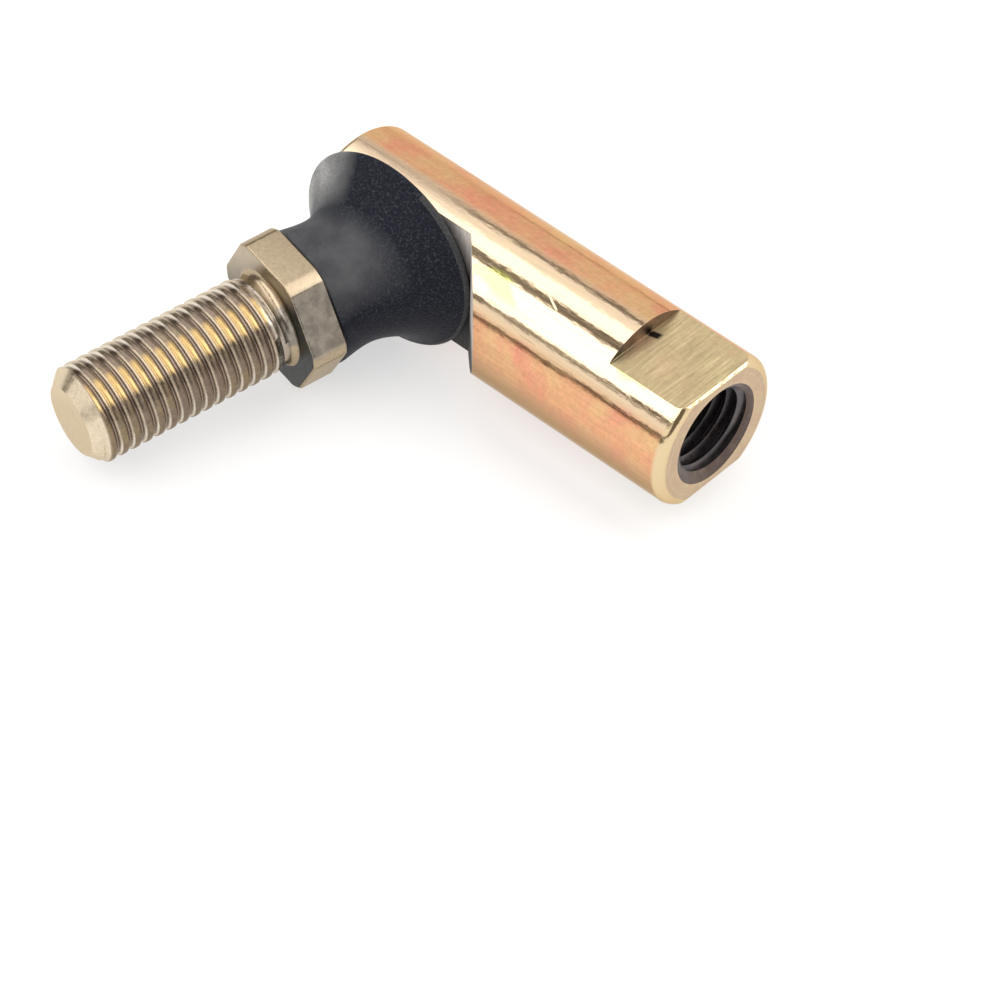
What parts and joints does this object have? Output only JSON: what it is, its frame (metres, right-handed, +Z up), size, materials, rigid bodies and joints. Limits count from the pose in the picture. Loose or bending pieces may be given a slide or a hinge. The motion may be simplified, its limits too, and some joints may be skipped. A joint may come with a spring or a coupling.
{
  "type": "ball joint",
  "caption": "Right-angle ball joint: round bar housing with a female rod thread and wrench flats, rubber boot, and a threaded ball stud with a hexagon.",
  "frame": {"origin": "mouth of the rod thread, on the housing bar's axis", "axes": "+X along the bar's axis, out of the rod thread; +Z up, square to the wrench flats; the stud points along -Y and leans from there"},
  "size_m": [0.0403, 0.0373, 0.0162],
  "materials": {
    "housing_zinc": "yellow zinc plated steel",
    "stud_zinc": "yellow zinc plated steel, rolled thread",
    "acetal": "moulded acetal",
    "rubber": "moulded black rubber"
  },
  "bodies": {
    "housing": {"housing": "housing_zinc"},
    "liner": {"socket_liner": "acetal"},
    "boot": {"boot": "rubber"},
    "stud": {"ball_stud": "stud_zinc"}
  },
  "joints": [
    {"name": "lean_side", "type": "hinge", "parent": "housing", "child": "liner", "pos_m": [-0.02952, 0, 0], "axis": [0, -1, 0], "continuous": true},
    {"name": "stud_lean", "type": "hinge", "parent": "liner", "child": "boot", "pos_m": [-0.02952, 0, 0], "axis": [0.342, 0, -0.9397], "range_deg": [-33, 7], "deforming": ["boot"]},
    {"name": "stud_spin", "type": "hinge", "parent": "boot", "child": "stud", "pos_m": [-0.02952, 0, 0], "axis": [-0.2114, -0.9744, -0.0769], "continuous": true}
  ]
}
